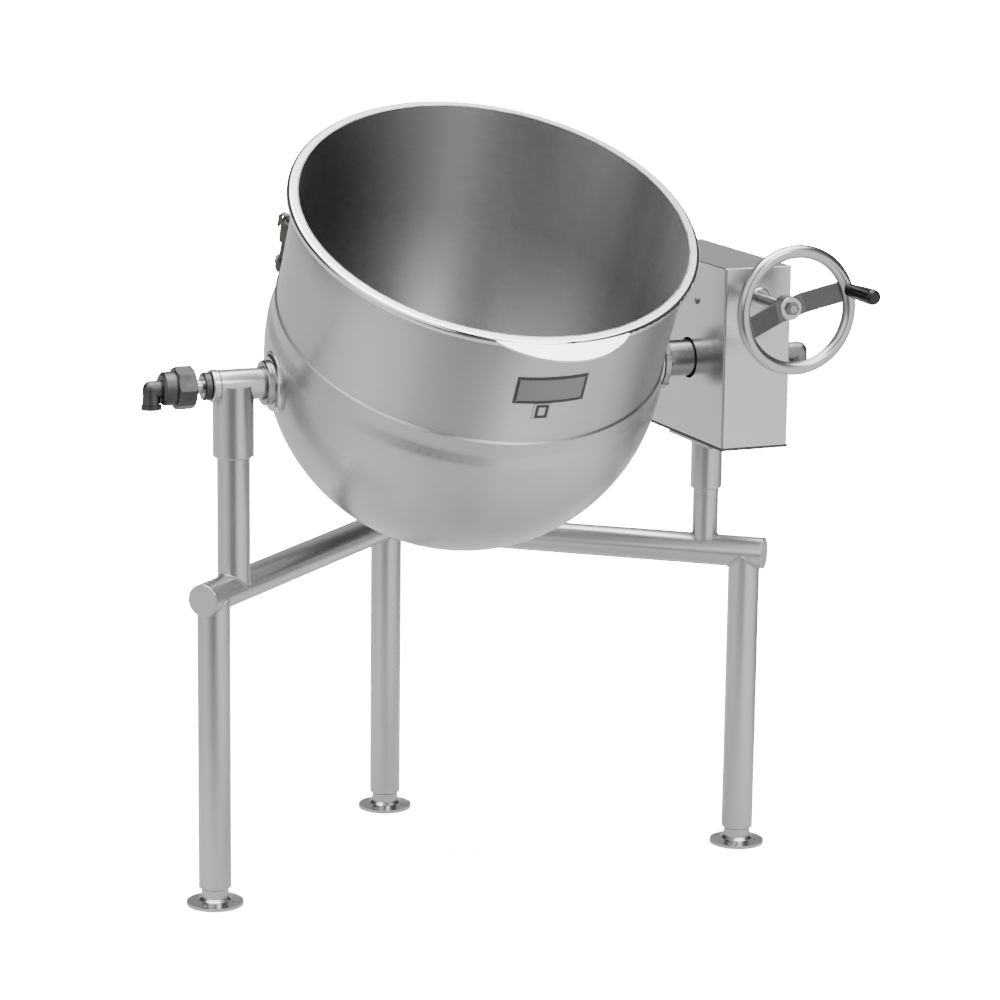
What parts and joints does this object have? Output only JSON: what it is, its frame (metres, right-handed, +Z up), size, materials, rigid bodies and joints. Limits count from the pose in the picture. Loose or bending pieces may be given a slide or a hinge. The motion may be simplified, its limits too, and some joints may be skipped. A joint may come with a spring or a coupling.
{
  "type": "tilting steam jacketed kettle",
  "caption": "Tilting double-walled steam kettle with a pouring lip, hung on trunnions in a three-leg tube stand and tilted by a crank handwheel through a worm gear.",
  "frame": {"origin": "on the floor below the middle of the whole part", "axes": "+Z up, +X along the trunnions towards the gear case, -Y the pouring side where the handwheel is"},
  "size_m": [1.128, 0.8374, 1.2166],
  "materials": {
    "satin_stainless": "satin brushed stainless steel tube and sheet",
    "polished_stainless": "bright polished stainless steel",
    "brushed_liner": "stainless steel brushed in bands",
    "case_sheet": "light satin stainless steel sheet",
    "dark_iron": "dark cast iron",
    "grey_iron": "grey machined iron",
    "steel_shaft": "turned steel",
    "bronze": "bearing bronze, machined",
    "fastener_steel": "dull plated steel",
    "plate_aluminium": "plain satin plate with no print",
    "black_plastic": "glossy black phenolic",
    "seal_graphite": "dark seal compound"
  },
  "bodies": {
    "stand": {"leg_left": "satin_stainless", "leg_right": "satin_stainless", "leg_rear": "satin_stainless", "leg_inserts": "grey_iron", "side_rail_left": "satin_stainless", "side_rail_right": "satin_stainless", "rail_end_caps": "satin_stainless", "post_left": "satin_stainless", "post_right": "satin_stainless", "post_sleeve_left": "satin_stainless", "post_sleeve_right": "satin_stainless", "trunnion_tee": "satin_stainless", "left_bushing": "bronze", "head_plate": "satin_stainless", "gear_case": "case_sheet", "case_base": "case_sheet", "case_screws": "fastener_steel", "gear_frame": "grey_iron", "frame_bolts": "fastener_steel", "trunnion_bushings": "bronze", "worm_bushings": "bronze", "shaft_gland": "satin_stainless", "steam_joint_body": "dark_iron", "steam_joint_nut": "dark_iron", "steam_joint_seal": "seal_graphite", "steam_elbow": "dark_iron", "condensate_joint": "grey_iron", "condensate_elbow": "grey_iron"},
    "kettle": {"liner_bowl": "brushed_liner", "jacket_shell": "satin_stainless", "closing_ring": "satin_stainless", "rim_ring": "polished_stainless", "pour_lip": "polished_stainless", "left_hub": "polished_stainless", "right_hub": "satin_stainless", "left_trunnion": "steel_shaft", "retaining_collar": "dark_iron", "right_trunnion": "steel_shaft", "trunnion_bolts": "fastener_steel", "steam_nipple": "steel_shaft", "condensate_nipple": "steel_shaft", "siphon_tube": "steel_shaft", "worm_wheel": "bronze", "wheel_key": "steel_shaft", "valve_elbow": "bronze", "safety_valve": "bronze", "lever_pin": "steel_shaft", "nameplate": "plate_aluminium", "data_plate": "plate_aluminium"},
    "handwheel": {"worm_shaft": "steel_shaft", "wheel_hub": "satin_stainless", "wheel_spoke": "satin_stainless", "wheel_rim": "satin_stainless", "wheel_nut": "fastener_steel", "handle_bolt": "fastener_steel"},
    "handle_grip": {"handle_grip": "black_plastic"},
    "valve_lever": {"valve_lever": "steel_shaft"},
    "foot_left": {"foot_left": "satin_stainless"},
    "foot_right": {"foot_right": "satin_stainless"},
    "foot_rear": {"foot_rear": "satin_stainless"}
  },
  "joints": [
    {"name": "kettle_tilt", "type": "hinge", "parent": "stand", "child": "kettle", "pos_m": [-0.047, 0.02916, 0.809], "axis": [1, 0, 0], "range_deg": [-28, 62]},
    {"name": "handwheel_spin", "type": "hinge", "parent": "stand", "child": "handwheel", "pos_m": [0.407, 0.02916, 0.9215], "axis": [0, 1, 0], "range_deg": [-1010, 2234]},
    {"name": "handle_spin", "type": "hinge", "parent": "handwheel", "child": "handle_grip", "pos_m": [0.49355, -0.27934, 0.94962], "axis": [0, 1, 0], "continuous": true},
    {"name": "lever_lift", "type": "hinge", "parent": "kettle", "child": "valve_lever", "pos_m": [-0.26915, 0.18504, 1.04138], "axis": [0.7431, 0.5908, 0.3141], "range_deg": [0, 25], "stiffness_Nm_per_rad": 0.05},
    {"name": "foot_left_level", "type": "slide", "parent": "stand", "child": "foot_left", "axis": [0, 0, -1], "range_m": [0, 0.025]},
    {"name": "foot_right_level", "type": "slide", "parent": "stand", "child": "foot_right", "axis": [0, 0, -1], "range_m": [0, 0.025]},
    {"name": "foot_rear_level", "type": "slide", "parent": "stand", "child": "foot_rear", "axis": [0, 0, -1], "range_m": [0, 0.025]}
  ],
  "couplings": [
    {"joint": "handwheel_spin", "follows": "kettle_tilt", "ratio": 36}
  ]
}
